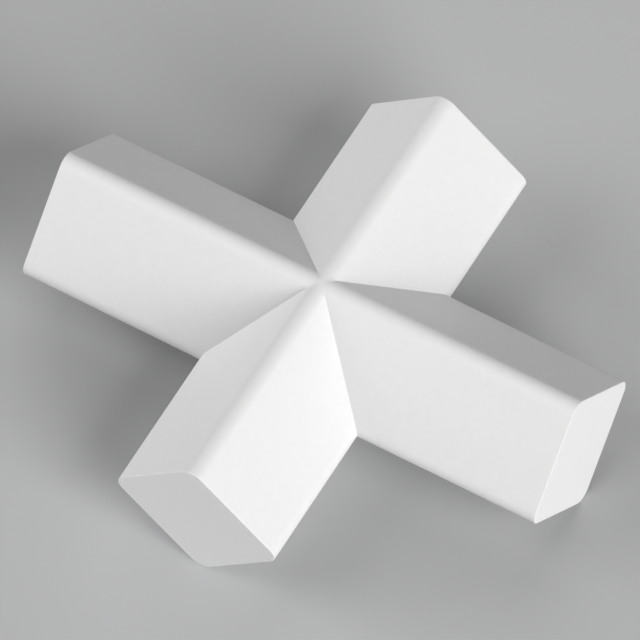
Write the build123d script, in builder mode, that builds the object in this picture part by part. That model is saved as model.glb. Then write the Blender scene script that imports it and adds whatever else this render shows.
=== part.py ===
from build123d import *
import math
import os

# Cross-shaped magnetic stir bar, in millimetres.
#
# Two square bars with rounded long edges cross at a right angle in one moulded PTFE jacket, and a
# rod magnet is sealed inside the longer bar. Each bar stands on a long edge, so its section is a
# diamond, and the ridges of all four arms meet above and below the middle. The jacket spins about
# +Z. The origin is where that axis meets the vessel floor, +X runs along the longer bar and +Y
# along the shorter one.

# ---- jacket: section of both bars ----
bar_side = 9.0  # across the flats of the square section
bar_edge_radius = 1.0  # rounding along the long edges

# ---- jacket: spin axis to each end face ----
long_arm_front = 19.4  # arm towards +X
long_arm_back = 19.6  # arm towards -X
short_arm_right = 16.1  # arm towards +Y
short_arm_left = 16.6  # arm towards -Y
end_edge_radius = 0.1  # slight softening round every end face

# ---- rod magnet ----
magnet_diameter = 6.0
magnet_length = 32.0
magnet_end_chamfer = 0.5
magnet_clearance = 0.0  # the sintered jacket shrinks tight onto the magnet

# ---- places that follow from the sizes ----
# From the middle of a rounded square to the top of its rounded corner.
half_diagonal = bar_side / math.sqrt(2) - bar_edge_radius * (math.sqrt(2) - 1)
bar_axis_height = half_diagonal  # the lower ridges rest on the floor plane
long_bar_length = long_arm_back + long_arm_front
short_bar_length = short_arm_left + short_arm_right
long_bar_middle = (long_arm_front - long_arm_back) / 2


def rod_along_long_bar(clearance: float) -> Part:
    """Chamfered rod in the middle of the longer bar, grown by a clearance on every side."""
    length = magnet_length + 2 * clearance
    start = Plane.YZ.offset(long_bar_middle - length / 2)
    with BuildPart() as rod:
        with BuildSketch(start):
            with Locations((0, bar_axis_height)):
                Circle(magnet_diameter / 2 + clearance)
        extrude(amount=length)
        chamfer(rod.edges().filter_by(GeomType.CIRCLE), length=magnet_end_chamfer)
    return rod.part


# ---- rod_magnet: the cast alloy rod that the stirrer drives ----
with BuildPart() as rod_magnet:
    add(rod_along_long_bar(0))
rod_magnet.part.label = "rod_magnet"

# ---- ptfe_jacket: both bars in one moulding, closed all round the magnet ----
with BuildPart() as ptfe_jacket:
    with BuildSketch(Plane.YZ.offset(-long_arm_back)):
        with Locations((0, bar_axis_height)):
            RectangleRounded(bar_side, bar_side, bar_edge_radius, rotation=45)
    extrude(amount=long_bar_length)
    with BuildSketch(Plane.XZ.offset(-short_arm_right)):
        with Locations((0, bar_axis_height)):
            RectangleRounded(bar_side, bar_side, bar_edge_radius, rotation=45)
    extrude(amount=short_bar_length)
    end_faces = ptfe_jacket.faces().filter_by(Axis.X) + ptfe_jacket.faces().filter_by(Axis.Y)
    fillet(end_faces.edges(), radius=end_edge_radius)
    add(rod_along_long_bar(magnet_clearance), mode=Mode.SUBTRACT)
ptfe_jacket.part.label = "ptfe_jacket"

# ---- one STEP file for each piece ----
os.makedirs("parts", exist_ok=True)
for piece in (ptfe_jacket, rod_magnet):
    export_step(piece.part, f"parts/{piece.part.label}.step")
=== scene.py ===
"""Looks of a cross-shaped magnetic stir bar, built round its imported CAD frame.

The CAD frame gives every place and overall size. This script adds the moulded PTFE jacket as a fine,
evenly divided mesh with its sealed pocket, the cast alloy rod magnet that fills the pocket, their
finishes, a plain pale floor, soft lamps and the camera. All lengths are in metres.
"""
import logging
import math
from dataclasses import dataclass, field
from enum import Enum

import bmesh
import bpy
from mathutils import Matrix, Vector, noise


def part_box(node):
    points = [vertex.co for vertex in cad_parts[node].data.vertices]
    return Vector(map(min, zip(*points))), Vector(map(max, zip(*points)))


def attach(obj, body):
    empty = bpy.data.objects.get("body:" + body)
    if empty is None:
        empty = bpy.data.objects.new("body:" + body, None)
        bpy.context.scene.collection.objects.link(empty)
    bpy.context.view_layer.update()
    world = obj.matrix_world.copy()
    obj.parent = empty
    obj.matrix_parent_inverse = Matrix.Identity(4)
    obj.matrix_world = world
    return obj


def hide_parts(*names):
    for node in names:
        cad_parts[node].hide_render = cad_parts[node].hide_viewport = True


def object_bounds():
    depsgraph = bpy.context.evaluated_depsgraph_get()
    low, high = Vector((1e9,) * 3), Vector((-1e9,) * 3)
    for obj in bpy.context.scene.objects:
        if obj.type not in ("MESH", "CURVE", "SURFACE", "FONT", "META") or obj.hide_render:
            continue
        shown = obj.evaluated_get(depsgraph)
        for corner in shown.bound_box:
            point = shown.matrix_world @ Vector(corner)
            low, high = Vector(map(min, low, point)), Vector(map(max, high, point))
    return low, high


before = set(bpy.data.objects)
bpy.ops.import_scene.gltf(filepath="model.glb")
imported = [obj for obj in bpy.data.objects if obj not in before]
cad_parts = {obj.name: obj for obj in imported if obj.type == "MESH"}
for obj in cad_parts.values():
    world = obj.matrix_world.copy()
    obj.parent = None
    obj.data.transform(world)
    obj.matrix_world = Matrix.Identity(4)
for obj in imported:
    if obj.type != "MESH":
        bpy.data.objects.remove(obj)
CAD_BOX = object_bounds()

LOG = logging.getLogger("stir_bar")
MM = 0.001
BODY = "root"

Point = tuple[float, float]
Colour = tuple[float, float, float]
Ring = list[Vector]
Socket = bpy.types.NodeSocket

FULL_RANGE: Point = (0.0, 1.0)
EIGHTH_TURN = math.pi / 4


class Slot(Enum):
    """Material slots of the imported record."""

    PTFE = "ptfe_white"
    ALLOY = "magnet_alloy"


class Heading(Enum):
    """Quarter turns about the spin axis that carry an arm along +X to each of the four arms."""

    FRONT = 0
    RIGHT = 1
    BACK = 2
    LEFT = 3

    def place(self, along: float, across: float, up: float) -> Vector:
        """Turn a point of the arm along +X to this heading.

        Args:
            along: Distance from the spin axis towards the arm's end.
            across: Distance to the left of the arm's middle line.
            up: Height above the floor.

        Returns:
            The turned point.
        """
        turns = ((along, across), (-across, along), (-along, -across), (across, -along))
        x, y = turns[self.value]
        return Vector((x, y, up))


# ---------------------------------------------------------------------------
# Mesh helpers
# ---------------------------------------------------------------------------


def quad_strip(bm: bmesh.types.BMesh, first: Ring, second: Ring, closed: bool = True) -> None:
    """Join two rows of equal length with four-sided faces.

    Args:
        bm: Mesh that gets the faces.
        first: Row of vertices, in order.
        second: The row beside it, in the same order.
        closed: True if each row runs right round and meets itself.
    """
    count = len(first)
    for i in range(count if closed else count - 1):
        j = (i + 1) % count
        bm.faces.new((first[i], first[j], second[j], second[i]))


def fan(bm: bmesh.types.BMesh, ring: Ring, middle: bmesh.types.BMVert) -> None:
    """Close a ring with three-sided faces that meet in one vertex."""
    for i, vertex in enumerate(ring):
        bm.faces.new((vertex, ring[(i + 1) % len(ring)], middle))


def link_mesh(name: str, bm: bmesh.types.BMesh) -> bpy.types.Object:
    """Turn a finished BMesh into an object of the scene.

    Args:
        name: Name of the new piece.
        bm: The mesh, which is freed.

    Returns:
        The new object, whose origin is the frame's.
    """
    mesh = bpy.data.meshes.new(name)
    bm.to_mesh(mesh)
    bm.free()
    piece = bpy.data.objects.new(name, mesh)
    bpy.context.scene.collection.objects.link(piece)
    return piece


def spread(start: float, end: float, steps: int) -> list[float]:
    """Return evenly spaced values from start to end, both included."""
    return [start + (end - start) * i / steps for i in range(steps + 1)]


@dataclass(frozen=True)
class Waviness:
    """Slight unevenness that moulding or casting leaves in a surface, cut inwards only.

    Attributes:
        depth: Deepest cut below the true surface.
        length: Rough distance from one swell to the next.
        middle: Share of the depth that is cut where the noise is 0.
        gain: How strongly the noise moves that share.
    """

    depth: float
    length: float
    middle: float = 0.5
    gain: float = 0.7

    def apply(self, bm: bmesh.types.BMesh) -> None:
        """Move each vertex inwards along its normal by a smooth noise of its place.

        Args:
            bm: The mesh that is moved.
        """
        bm.normal_update()
        shifts = []
        for vertex in bm.verts:
            swell = noise.noise(vertex.co / self.length)
            share = min(max(self.middle + self.gain * swell, 0.0), 1.0)
            shifts.append(vertex.normal * (-self.depth * share))
        for vertex, shift in zip(bm.verts, shifts):
            vertex.co += shift


# ---------------------------------------------------------------------------
# Shader helpers and the shared node group
# ---------------------------------------------------------------------------


class NodeSheet:
    """A node tree with short calls for adding and joining nodes."""

    # A Mix node holds sockets of every type. These are its two colours and its mixed colour.
    FIRST_COLOUR = 6
    SECOND_COLOUR = 7
    MIXED_COLOUR = 2
    # A Map Range node's two ends of what comes in, then of what goes out.
    RANGE_ENDS = slice(1, 5)

    def __init__(self, tree: bpy.types.NodeTree) -> None:
        """Keep the tree that the calls add to."""
        self.tree = tree

    def add(self, kind: str, **settings: object) -> bpy.types.Node:
        """Add a node and set its properties.

        Args:
            kind: Blender's type name of the node.
            settings: Properties of the node and their values.

        Returns:
            The new node.
        """
        node = self.tree.nodes.new(kind)
        for key, value in settings.items():
            setattr(node, key, value)
        return node

    def join(self, source: Socket, target: Socket) -> None:
        """Link an output to an input."""
        self.tree.links.new(source, target)

    def calculate(self, operation: str, first: Socket | float, second: Socket | float) -> Socket:
        """Add a clamped Math node.

        Args:
            operation: Blender's name of the operation.
            first: A socket or a number.
            second: A socket or a number.

        Returns:
            The node's output.
        """
        node = self.add("ShaderNodeMath", operation=operation, use_clamp=True)
        for socket, value in zip(node.inputs, (first, second)):
            if isinstance(value, Socket):
                self.join(value, socket)
            else:
                socket.default_value = value
        return node.outputs[0]

    def fit(self, value: Socket, source: Point, target: Point) -> Socket:
        """Carry a value from one range to another, held at its ends.

        Args:
            value: The value to carry.
            source: Lowest and highest value that come in.
            target: What they go out as.

        Returns:
            The carried value.
        """
        node = self.add("ShaderNodeMapRange", clamp=True)
        for socket, number in zip(node.inputs[self.RANGE_ENDS], (*source, *target)):
            socket.default_value = number
        self.join(value, node.inputs["Value"])
        return node.outputs["Result"]

    def blend(self, share: Socket, low: Socket | Colour, high: Colour) -> Socket:
        """Mix two colours by a share.

        Args:
            share: 0 for the first colour, 1 for the second.
            low: The first colour, or a socket that gives it.
            high: The second colour.

        Returns:
            The mixed colour.
        """
        node = self.add("ShaderNodeMix", data_type="RGBA")
        self.join(share, node.inputs["Factor"])
        if isinstance(low, Socket):
            self.join(low, node.inputs[self.FIRST_COLOUR])
        else:
            node.inputs[self.FIRST_COLOUR].default_value = (*low, 1.0)
        node.inputs[self.SECOND_COLOUR].default_value = (*high, 1.0)
        return node.outputs[self.MIXED_COLOUR]

    def bump(self, height: Socket, strength: float, depth: float, shader: bpy.types.Node) -> None:
        """Feed a shader's Normal from a height.

        Args:
            height: Height of the surface, from 0 to 1.
            strength: How strongly it counts.
            depth: What a height of 1 measures.
            shader: The shader that gets the normal.
        """
        node = self.add("ShaderNodeBump")
        node.inputs["Strength"].default_value = strength
        node.inputs["Distance"].default_value = depth
        self.join(height, node.inputs["Height"])
        self.join(node.outputs["Normal"], shader.inputs["Normal"])


class SurfaceGrain:
    """Shader node group of the grain that both pieces carry.

    Inputs are the swell and grain sizes and how many specks there are. Outputs are a soft mottle, a
    fine grain, a mask of sparse specks and a height for bump, all from 0 to 1.
    """

    NAME = "surface_grain"
    INPUTS = {"Mottle Scale": 300.0, "Grain Scale": 4000.0, "Speck Amount": 0.2}
    OUTPUTS = ("Mottle", "Grain", "Specks", "Height")
    MOTTLE_DETAIL = 3.0
    GRAIN_DETAIL = 2.0
    # The part of the noise's range that holds nearly all of its values.
    NOISE_RANGE: Point = (0.3, 0.7)
    # Half of a cell's width is the most that a speck can reach. Its rim fades in just inside that.
    SPECK_HALF = 0.5
    SPECK_RIM: Point = (0.0, 0.05)
    MOTTLE_HEIGHT = 0.35
    GRAIN_HEIGHT = 0.65

    def __init__(self) -> None:
        """Build the group once."""
        self.tree = bpy.data.node_groups.new(self.NAME, "ShaderNodeTree")
        self._sockets()
        self._nodes()

    def _sockets(self) -> None:
        """Name what goes in and what comes out."""
        sockets = self.tree.interface
        for name, start in self.INPUTS.items():
            made = sockets.new_socket(name, in_out="INPUT", socket_type="NodeSocketFloat")
            made.default_value = start
        for name in self.OUTPUTS:
            sockets.new_socket(name, in_out="OUTPUT", socket_type="NodeSocketFloat")

    def _nodes(self) -> None:
        """Lay out noise at two sizes, a cell pattern for the specks and their sum as a height."""
        sheet = NodeSheet(self.tree)
        given = sheet.add("NodeGroupInput")
        result = sheet.add("NodeGroupOutput")
        place = sheet.add("ShaderNodeTexCoord").outputs["Object"]
        mottle = self._noise(sheet, place, given.outputs["Mottle Scale"], self.MOTTLE_DETAIL)
        grain = self._noise(sheet, place, given.outputs["Grain Scale"], self.GRAIN_DETAIL)
        cells = sheet.add("ShaderNodeTexVoronoi", feature="F1", distance="EUCLIDEAN")
        sheet.join(place, cells.inputs["Vector"])
        sheet.join(given.outputs["Mottle Scale"], cells.inputs["Scale"])
        reach = sheet.calculate("MULTIPLY", given.outputs["Speck Amount"], self.SPECK_HALF)
        inside = sheet.calculate("SUBTRACT", reach, cells.outputs["Distance"])
        specks = sheet.fit(inside, self.SPECK_RIM, FULL_RANGE)
        swells = sheet.calculate("MULTIPLY", mottle, self.MOTTLE_HEIGHT)
        grains = sheet.calculate("MULTIPLY", grain, self.GRAIN_HEIGHT)
        height = sheet.calculate("ADD", swells, grains)
        for name, socket in zip(self.OUTPUTS, (mottle, grain, specks, height)):
            sheet.join(socket, result.inputs[name])

    def _noise(self, sheet: NodeSheet, place: Socket, scale: Socket, detail: float) -> Socket:
        """Add a noise texture stretched to fill 0 to 1.

        Args:
            sheet: Where it goes.
            place: Coordinates that it reads.
            scale: Its scale.
            detail: Its octaves.

        Returns:
            The stretched value.
        """
        node = sheet.add("ShaderNodeTexNoise")
        node.inputs["Detail"].default_value = detail
        sheet.join(place, node.inputs["Vector"])
        sheet.join(scale, node.inputs["Scale"])
        return sheet.fit(node.outputs["Fac"], self.NOISE_RANGE, FULL_RANGE)

    def put(self, sheet: NodeSheet, mottle: float, grain: float, specks: float) -> bpy.types.Node:
        """Place the group in a material.

        Args:
            sheet: The material's nodes.
            mottle: Mottle scale, in swells per metre.
            grain: Grain scale, in grains per metre.
            specks: Share of the cells' width that their specks reach.

        Returns:
            The group's node.
        """
        node = sheet.add("ShaderNodeGroup", node_tree=self.tree)
        node.inputs["Mottle Scale"].default_value = mottle
        node.inputs["Grain Scale"].default_value = grain
        node.inputs["Speck Amount"].default_value = specks
        return node


def principled(name: str) -> tuple[bpy.types.Material, NodeSheet, bpy.types.Node]:
    """Start a material.

    Args:
        name: The material's name.

    Returns:
        The material, its nodes and its Principled BSDF.
    """
    material = bpy.data.materials.new(name)
    material.use_nodes = True
    sheet = NodeSheet(material.node_tree)
    return material, sheet, material.node_tree.nodes["Principled BSDF"]


# ---------------------------------------------------------------------------
# Finishes
# ---------------------------------------------------------------------------


@dataclass(frozen=True)
class PtfeFinish:
    """Moulded white PTFE: milky, satin, with a faint mottle, fine sintered grain and a rare speck."""

    light: Colour = (0.809, 0.809, 0.806)
    shade: Colour = (0.791, 0.791, 0.788)
    speck: Colour = (0.77, 0.77, 0.76)
    roughness: Point = (0.42, 0.48)
    refraction: float = 1.36
    glow: float = 0.12
    glow_depth: float = 0.4 * MM
    glow_spread: Colour = (1.0, 1.0, 0.95)
    swell: float = 0.45 * MM
    grain: float = 0.12 * MM
    speck_reach: float = 0.16
    bump_height: float = 0.003 * MM
    bump_strength: float = 0.35

    def make(self, group: SurfaceGrain) -> bpy.types.Material:
        """Build the material.

        Args:
            group: The shared grain.

        Returns:
            The finished material.
        """
        material, sheet, shader = principled("moulded_white_ptfe")
        surface = group.put(sheet, 1 / self.swell, 1 / self.grain, self.speck_reach)
        milky = sheet.blend(surface.outputs["Mottle"], self.shade, self.light)
        spotted = sheet.blend(surface.outputs["Specks"], milky, self.speck)
        sheet.join(spotted, shader.inputs["Base Color"])
        satin = sheet.fit(surface.outputs["Grain"], FULL_RANGE, self.roughness)
        sheet.join(satin, shader.inputs["Roughness"])
        sheet.bump(surface.outputs["Height"], self.bump_strength, self.bump_height, shader)
        shader.inputs["IOR"].default_value = self.refraction
        shader.inputs["Subsurface Weight"].default_value = self.glow
        shader.inputs["Subsurface Radius"].default_value = self.glow_spread
        shader.inputs["Subsurface Scale"].default_value = self.glow_depth
        return material


@dataclass(frozen=True)
class AlloyFinish:
    """Cast magnet alloy, ground round: dull grey metal with fine rings and small casting pores."""

    light: Colour = (0.34, 0.34, 0.35)
    shade: Colour = (0.28, 0.28, 0.29)
    pore: Colour = (0.12, 0.12, 0.12)
    roughness: Point = (0.32, 0.52)
    swell: float = 1.1 * MM
    grain: float = 0.12 * MM
    pore_reach: float = 0.20
    ring_pitch: float = 0.09 * MM
    ring_drift: float = 60.0
    ring_range: Point = (0.35, 0.65)
    ring_share: float = 0.5
    ground_height: float = 0.4
    pore_depth: float = 0.8
    bump_height: float = 0.006 * MM
    bump_strength: float = 0.5

    def make(self, group: SurfaceGrain) -> bpy.types.Material:
        """Build the material.

        Args:
            group: The shared grain.

        Returns:
            The finished material.
        """
        material, sheet, shader = principled("ground_magnet_alloy")
        surface = group.put(sheet, 1 / self.swell, 1 / self.grain, self.pore_reach)
        metal = sheet.blend(surface.outputs["Mottle"], self.shade, self.light)
        pitted = sheet.blend(surface.outputs["Specks"], metal, self.pore)
        sheet.join(pitted, shader.inputs["Base Color"])
        rings = sheet.calculate("MULTIPLY", self._rings(sheet), self.ring_share)
        grains = sheet.calculate("MULTIPLY", surface.outputs["Grain"], 1 - self.ring_share)
        rough = sheet.calculate("ADD", grains, rings)
        sheet.join(sheet.fit(rough, FULL_RANGE, self.roughness), shader.inputs["Roughness"])
        pores = sheet.calculate("MULTIPLY", surface.outputs["Specks"], self.pore_depth)
        ground = sheet.calculate("ADD", rough, self.ground_height)
        height = sheet.calculate("SUBTRACT", ground, pores)
        sheet.bump(height, self.bump_strength, self.bump_height, shader)
        shader.inputs["Metallic"].default_value = 1.0
        return material

    def _rings(self, sheet: NodeSheet) -> Socket:
        """Add grinding rings that run round the rod, as noise that changes mostly along +X.

        Args:
            sheet: The material's nodes.

        Returns:
            The rings, from 0 to 1.
        """
        place = sheet.add("ShaderNodeTexCoord").outputs["Object"]
        squash = sheet.add("ShaderNodeMapping")
        squash.inputs["Scale"].default_value = (1 / self.ring_pitch, self.ring_drift, self.ring_drift)
        rings = sheet.add("ShaderNodeTexNoise")
        rings.inputs["Scale"].default_value = 1.0
        rings.inputs["Detail"].default_value = 1.0
        sheet.join(place, squash.inputs["Vector"])
        sheet.join(squash.outputs["Vector"], rings.inputs["Vector"])
        return sheet.fit(rings.outputs["Fac"], self.ring_range, FULL_RANGE)


@dataclass(frozen=True)
class FloorFinish:
    """Plain pale grey studio floor, matt."""

    colour: Colour = (0.50, 0.503, 0.508)
    roughness: float = 0.9
    sheen_level: float = 0.2

    def make(self) -> bpy.types.Material:
        """Build the material.

        Returns:
            The finished material.
        """
        material, _, shader = principled("pale_floor")
        shader.inputs["Base Color"].default_value = (*self.colour, 1.0)
        shader.inputs["Roughness"].default_value = self.roughness
        shader.inputs["Specular IOR Level"].default_value = self.sheen_level
        return material


# ---------------------------------------------------------------------------
# Pieces
# ---------------------------------------------------------------------------


@dataclass
class RodMagnet:
    """Round rod with chamfered ends, lying along +X in the jacket's pocket.

    Attributes:
        end_chamfer: Width of the chamfer at each end.
        settle: How far the rod's skin stays inside the pocket's wall.
        sides: Faces round the rod.
        pitch: Rough length of a face along the rod.
        cap_rings: Rings of faces on a flat end.
        chamfer_steps: Rings of faces on a chamfer.
        crease: Angle between faces above which an edge stays sharp.
        unevenness: What casting and grinding leave in the surface.
    """

    end_chamfer: float = 0.5 * MM
    settle: float = 0.002 * MM
    sides: int = 96
    pitch: float = 0.5 * MM
    cap_rings: int = 6
    chamfer_steps: int = 3
    crease: float = math.radians(30)
    unevenness: Waviness = Waviness(depth=0.004 * MM, length=2.0 * MM)

    def __post_init__(self) -> None:
        """Take the length, the radius and the axis from the CAD rod."""
        low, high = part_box("rod_magnet")
        self.start, self.end = low.x, high.x
        self.radius = (high.z - low.z) / 2
        self.axis = Vector((0.0, (low.y + high.y) / 2, (low.z + high.z) / 2))

    def _profile(self, inset: float) -> list[Point]:
        """List the rod's outline from one end's middle to the other's.

        Args:
            inset: How far the outline stays inside the true one.

        Returns:
            Places along the rod, each with its radius.
        """
        start, end, radius = self.start + inset, self.end - inset, self.radius - inset
        face = radius - self.end_chamfer
        cap = spread(face / self.cap_rings, face, self.cap_rings - 1)
        slope = spread(0.0, self.end_chamfer, self.chamfer_steps)
        rows = round((end - start) / self.pitch)
        body = spread(start + self.end_chamfer, end - self.end_chamfer, rows)
        outline = [(start, r) for r in cap]
        outline += [(start + s, face + s) for s in slope[1:-1]]
        outline += [(x, radius) for x in body]
        outline += [(end - s, face + s) for s in reversed(slope[1:-1])]
        outline += [(end, r) for r in reversed(cap)]
        return outline

    def skin(self, bm: bmesh.types.BMesh, inset: float = 0.0, inside_out: bool = False) -> None:
        """Add the rod's closed surface to a mesh.

        Args:
            bm: Mesh that gets the faces.
            inset: How far the surface stays inside the true one.
            inside_out: True for the wall of a pocket, which faces its own hollow.
        """
        outline = self._profile(inset)
        rings = [self._ring(bm, along, radius) for along, radius in outline]
        if inside_out:
            rings = [list(reversed(ring)) for ring in rings]
        first = bm.verts.new(self.axis + Vector((outline[0][0], 0.0, 0.0)))
        last = bm.verts.new(self.axis + Vector((outline[-1][0], 0.0, 0.0)))
        fan(bm, list(reversed(rings[0])), first)
        for near, far in zip(rings, rings[1:]):
            quad_strip(bm, near, far)
        fan(bm, rings[-1], last)

    def _ring(self, bm: bmesh.types.BMesh, along: float, radius: float) -> Ring:
        """Add one ring of vertices round the axis.

        Args:
            bm: Mesh that gets the vertices.
            along: Place along +X.
            radius: Distance from the axis.

        Returns:
            The vertices, in order.
        """
        ring = []
        for i in range(self.sides):
            turn = 2 * math.pi * i / self.sides
            offset = Vector((along, -radius * math.sin(turn), radius * math.cos(turn)))
            ring.append(bm.verts.new(self.axis + offset))
        return ring

    def build(self, finish: bpy.types.Material) -> bpy.types.Object:
        """Make the rod and put it in place of its CAD node.

        Args:
            finish: Its material.

        Returns:
            The finished piece.
        """
        bm = bmesh.new()
        self.skin(bm, self.settle)
        bmesh.ops.recalc_face_normals(bm, faces=bm.faces)
        self.unevenness.apply(bm)
        piece = link_mesh("cast_rod_magnet", bm)
        dress(piece, finish, "rod_magnet", self.crease)
        return piece


@dataclass
class PtfeJacket:
    """Cross of four square arms with rounded long edges, closed all round the magnet's pocket.

    Each arm's section is a diamond. The surfaces of neighbouring arms meet where their distances
    along and across are equal, so each arm's rows of vertices start on that line and weld there.

    Attributes:
        edge_radius: Rounding along the long edges.
        end_radius: Softening round each end face.
        round_steps: Faces across half of a rounded edge.
        flat_steps: Faces across a flat side.
        end_steps: Faces across the softened end edge.
        cap_rings: Rings of faces that fill an end face.
        pitch: Rough length of a face along an arm.
        hold: Width of the narrow face that keeps a flat side flat beside a rounded edge.
        weld: Distance within which the arms' vertices join where the arms meet.
        crease: Angle between faces above which an edge stays sharp.
        unevenness: What moulding leaves in the surface.
        arms: Each arm's length from the spin axis, taken from the CAD jacket.
    """

    edge_radius: float = 1.0 * MM
    end_radius: float = 0.06 * MM
    round_steps: int = 6
    flat_steps: int = 22
    end_steps: int = 4
    cap_rings: int = 12
    pitch: float = 0.34 * MM
    hold: float = 0.06 * MM
    weld: float = 0.0005 * MM
    crease: float = math.radians(40)
    unevenness: Waviness = Waviness(depth=0.005 * MM, length=3.2 * MM)
    arms: dict[Heading, float] = field(init=False)

    def __post_init__(self) -> None:
        """Take the arms' lengths and the section's size from the CAD jacket."""
        low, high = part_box("ptfe_jacket")
        self.arms = {
            Heading.FRONT: high.x,
            Heading.RIGHT: high.y,
            Heading.BACK: -low.x,
            Heading.LEFT: -low.y,
        }
        self.middle = (low.z + high.z) / 2
        # From the middle of the section to the centre of each rounded edge.
        self.reach = (high.z - low.z) / 2 - self.edge_radius

    def _quarter(self) -> list[tuple[Point, Point]]:
        """List the section from its upper ridge to its side ridge.

        Returns:
            Points as distance across and up, each with the direction that the surface faces there.
        """
        radius, reach = self.edge_radius, self.reach
        upper = [(math.sin(a), math.cos(a)) for a in spread(0.0, EIGHTH_TURN, self.round_steps)]
        side = [
            (math.sin(a), math.cos(a))
            for a in spread(EIGHTH_TURN, 2 * EIGHTH_TURN, self.round_steps)
        ]
        rounded = [((radius * s, reach + radius * c), (s, c)) for s, c in upper]
        ending = [((reach + radius * s, radius * c), (s, c)) for s, c in side]
        run = reach * math.sqrt(2)
        stops = spread(self.hold, run - self.hold, self.flat_steps)
        facing = upper[-1]
        across, up = rounded[-1][0]
        flat = [((across + d * facing[1], up - d * facing[0]), facing) for d in stops]
        return rounded + flat + ending

    def _section(self) -> list[tuple[Point, Point]]:
        """List the whole section, once round, from the upper ridge towards the left of the arm.

        Returns:
            Points as distance across and up, each with the direction that the surface faces there.
        """
        quarter = self._quarter()
        lower = [((a, -u), (s, -c)) for (a, u), (s, c) in reversed(quarter[:-1])]
        half = quarter + lower
        other = [((-a, u), (-s, c)) for (a, u), (s, c) in reversed(half[1:-1])]
        return half + other

    def _stations(self, start: float, end: float, count: int) -> list[float]:
        """Space the rows of one line of an arm, with a narrow one beside the end face.

        Args:
            start: Where the line leaves the neighbouring arm.
            end: Where the softened end edge begins.
            count: Rows of faces.

        Returns:
            Places along the arm.
        """
        return spread(start, end - self.hold, count - 1) + [end]

    def _arm(self, bm: bmesh.types.BMesh, heading: Heading, length: float) -> None:
        """Add one arm with its end face.

        Args:
            bm: Mesh that gets the faces.
            heading: Which way the arm points.
            length: From the spin axis to the end face.
        """
        section = self._section()
        count = round(length / self.pitch)
        body_end = length - self.end_radius
        lines = []
        for (across, up), facing in section:
            line = [
                heading.place(along, across, self.middle + up)
                for along in self._stations(abs(across), body_end, count)
            ]
            line += self._end_line(heading, length, (across, up), facing)
            lines.append([bm.verts.new(point) for point in line])
        for first, second in zip(lines, lines[1:] + lines[:1]):
            quad_strip(bm, first, second, closed=False)
        rim = [line[-1] for line in lines]
        fan(bm, rim, bm.verts.new(heading.place(length, 0.0, self.middle)))

    def _end_line(self, heading: Heading, length: float, place: Point, facing: Point) -> Ring:
        """Carry one line of an arm round the softened edge and across the end face.

        Args:
            heading: Which way the arm points.
            length: From the spin axis to the end face.
            place: The line's distance across and up in the section.
            facing: Direction that the surface faces there.

        Returns:
            Points from the body's end to the innermost ring of the end face.
        """
        points = []
        radius = self.end_radius
        for angle in spread(0.0, 2 * EIGHTH_TURN, self.end_steps)[1:]:
            inset = radius * (1 - math.cos(angle))
            across, up = (p - inset * f for p, f in zip(place, facing))
            points.append((length - radius * (1 - math.sin(angle)), across, up))
        along, across, up = points[-1]
        narrow = 1 - self.hold / (self.reach + self.edge_radius)
        for share in spread(narrow, 0.0, self.cap_rings)[:-1]:
            points.append((along, across * share, up * share))
        return [heading.place(x, y, self.middle + z) for x, y, z in points]

    def build(self, finish: bpy.types.Material, magnet: RodMagnet) -> bpy.types.Object:
        """Make the jacket and put it in place of its CAD node.

        Args:
            finish: Its material.
            magnet: The rod whose pocket it holds.

        Returns:
            The finished piece.
        """
        bm = bmesh.new()
        for heading, length in self.arms.items():
            self._arm(bm, heading, length)
        bmesh.ops.remove_doubles(bm, verts=bm.verts, dist=self.weld)
        bmesh.ops.recalc_face_normals(bm, faces=bm.faces)
        self.unevenness.apply(bm)
        magnet.skin(bm, inside_out=True)
        piece = link_mesh("moulded_ptfe_jacket", bm)
        dress(piece, finish, "ptfe_jacket", self.crease)
        return piece


def dress(
    piece: bpy.types.Object, finish: bpy.types.Material, node: str, crease: float
) -> None:
    """Finish a piece and bind it to the frame.

    Args:
        piece: The new piece.
        finish: Its material.
        node: The CAD node that it stands for.
        crease: Angle between faces above which an edge stays sharp.
    """
    piece.data.materials.append(finish)
    piece.data.polygons.foreach_set("use_smooth", [True] * len(piece.data.polygons))
    piece.data.set_sharp_from_angle(angle=crease)
    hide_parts(node)
    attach(piece, BODY)
    LOG.info("%s: %d faces, stands for %s", piece.name, len(piece.data.polygons), node)


# ---------------------------------------------------------------------------
# Studio
# ---------------------------------------------------------------------------


def heading_vector(azimuth: float, elevation: float) -> Vector:
    """Return the direction from the object to a camera or lamp.

    Args:
        azimuth: Degrees about +Z, 0 from -Y and 90 from +X.
        elevation: Degrees above the floor.

    Returns:
        A unit vector.
    """
    a, e = math.radians(azimuth), math.radians(elevation)
    return Vector((math.sin(a) * math.cos(e), -math.cos(a) * math.cos(e), math.sin(e)))


@dataclass(frozen=True)
class SoftLamp:
    """A broad lamp far away, so that its light is even over the object and the floor.

    Attributes:
        name: The lamp's name.
        azimuth: Where it stands, in degrees as for the camera.
        elevation: Its height above the floor, in degrees.
        level: What a white surface that faces it shows, as a share of full white.
        width: How broad it looks from the object, in degrees.
    """

    name: str
    azimuth: float
    elevation: float
    level: float
    width: float

    def build(self) -> bpy.types.Object:
        """Add the lamp to the scene.

        Returns:
            The lamp's object.
        """
        lamp = bpy.data.lights.new(self.name, "SUN")
        lamp.energy = math.pi * self.level
        lamp.angle = math.radians(self.width)
        holder = bpy.data.objects.new(self.name, lamp)
        holder.rotation_mode = "QUATERNION"
        towards = -heading_vector(self.azimuth, self.elevation)
        holder.rotation_quaternion = towards.to_track_quat("-Z", "Y")
        bpy.context.scene.collection.objects.link(holder)
        return holder


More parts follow.
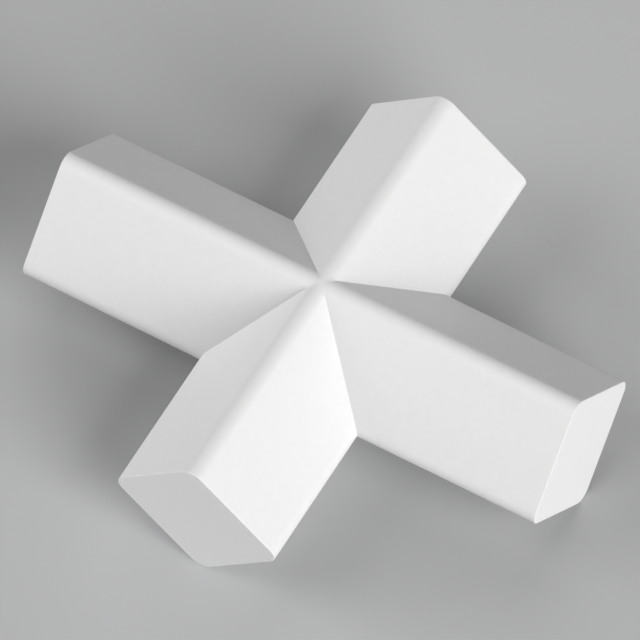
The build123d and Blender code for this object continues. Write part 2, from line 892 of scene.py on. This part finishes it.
@dataclass(frozen=True)
class Viewpoint:
    """Long-lens camera that looks down on the crossing of the arms.

    Attributes:
        azimuth: Degrees about +Z from -Y.
        elevation: Degrees above the floor.
        roll: Degrees that the picture is turned about the line of sight.
        lens: Focal length in millimetres.
        sensor: Width of the sensor in millimetres.
        distance: From the camera to the crossing.
        aim_right: How far right of the crossing the camera aims.
        aim_up: How far above it, in the picture.
        nearest: Share of the distance at which the view starts.
        farthest: Multiple of the distance at which it ends.
    """

    azimuth: float = 34.557
    elevation: float = 59.460
    roll: float = -4.685
    lens: float = 1100.0
    sensor: float = 36.0
    distance: float = 1.2840
    aim_right: float = -0.325 * MM
    aim_up: float = 0.538 * MM
    nearest: float = 0.1
    farthest: float = 3.0

    def build(self) -> bpy.types.Object:
        """Add the camera and make it the scene's own.

        Returns:
            The camera's object.
        """
        low, high = CAD_BOX
        crossing = Vector((0.0, 0.0, (low.z + high.z) / 2))
        back = heading_vector(self.azimuth, self.elevation)
        turn = (-back).to_track_quat("-Z", "Y").to_matrix().to_4x4()
        turn = turn @ Matrix.Rotation(math.radians(self.roll), 4, "Z")
        offset = turn @ Vector((self.aim_right, self.aim_up, self.distance))
        data = bpy.data.cameras.new("camera")
        data.lens = self.lens
        data.sensor_width = self.sensor
        data.clip_start = self.nearest * self.distance
        data.clip_end = self.farthest * self.distance
        holder = bpy.data.objects.new("camera", data)
        holder.matrix_world = Matrix.Translation(crossing + offset) @ turn
        bpy.context.scene.collection.objects.link(holder)
        bpy.context.scene.camera = holder
        return holder


@dataclass(frozen=True)
class Studio:
    """Pale floor, soft lamps and camera.

    Attributes:
        floor_half: Half of the floor's side.
        lamps: Every lamp.
        backdrop: Colour that is seen beyond the floor's edge and in reflections.
        viewpoint: The camera.
    """

    floor_half: float = 3.0
    lamps: tuple[SoftLamp, ...] = (
        SoftLamp("key_high", azimuth=70.0, elevation=33.0, level=0.68, width=40.0),
        SoftLamp("key_low", azimuth=70.0, elevation=11.0, level=0.455, width=40.0),
        SoftLamp("fill_low", azimuth=281.0, elevation=18.0, level=0.43, width=40.0),
        SoftLamp("fill_high", azimuth=300.0, elevation=43.0, level=0.235, width=40.0),
        SoftLamp("back_top", azimuth=212.0, elevation=58.0, level=0.12, width=40.0),
    )
    backdrop: Colour = (0.50, 0.505, 0.51)
    viewpoint: Viewpoint = Viewpoint()

    def build(self) -> None:
        """Set up the stage, the light and the camera."""
        self._floor()
        for lamp in self.lamps:
            lamp.build()
            LOG.info("lamp %s at %.0f, %.0f degrees", lamp.name, lamp.azimuth, lamp.elevation)
        self._backdrop()
        bpy.context.scene.view_settings.view_transform = "Standard"
        self.viewpoint.build()

    def _backdrop(self) -> None:
        """Show a pale backdrop to the camera and in reflections, with no diffuse light from it."""
        world = bpy.data.worlds.new("studio")
        world.use_nodes = True
        sheet = NodeSheet(world.node_tree)
        ray = sheet.add("ShaderNodeLightPath")
        seen = ray.outputs["Is Camera Ray"]
        for other in ("Is Glossy Ray", "Is Transmission Ray"):
            seen = sheet.calculate("ADD", seen, ray.outputs[other])
        background = world.node_tree.nodes["Background"]
        background.inputs["Color"].default_value = (*self.backdrop, 1.0)
        sheet.join(seen, background.inputs["Strength"])
        bpy.context.scene.world = world

    def _floor(self) -> None:
        """Lay the floor level with the CAD model's lowest point."""
        half, level = self.floor_half, CAD_BOX[0].z
        bm = bmesh.new()
        corners = [(-half, -half), (half, -half), (half, half), (-half, half)]
        bm.faces.new([bm.verts.new((x, y, level)) for x, y in corners])
        floor = link_mesh("floor", bm)
        floor.data.materials.append(FloorFinish().make())


def main() -> None:
    """Build the pieces, then the studio."""
    logging.basicConfig(level=logging.INFO, format="%(name)s: %(message)s")
    grain = SurfaceGrain()
    magnet = RodMagnet()
    magnet.build(AlloyFinish().make(grain))
    PtfeJacket().build(PtfeFinish().make(grain), magnet)
    Studio().build()


if __name__ == "__main__":
    main()
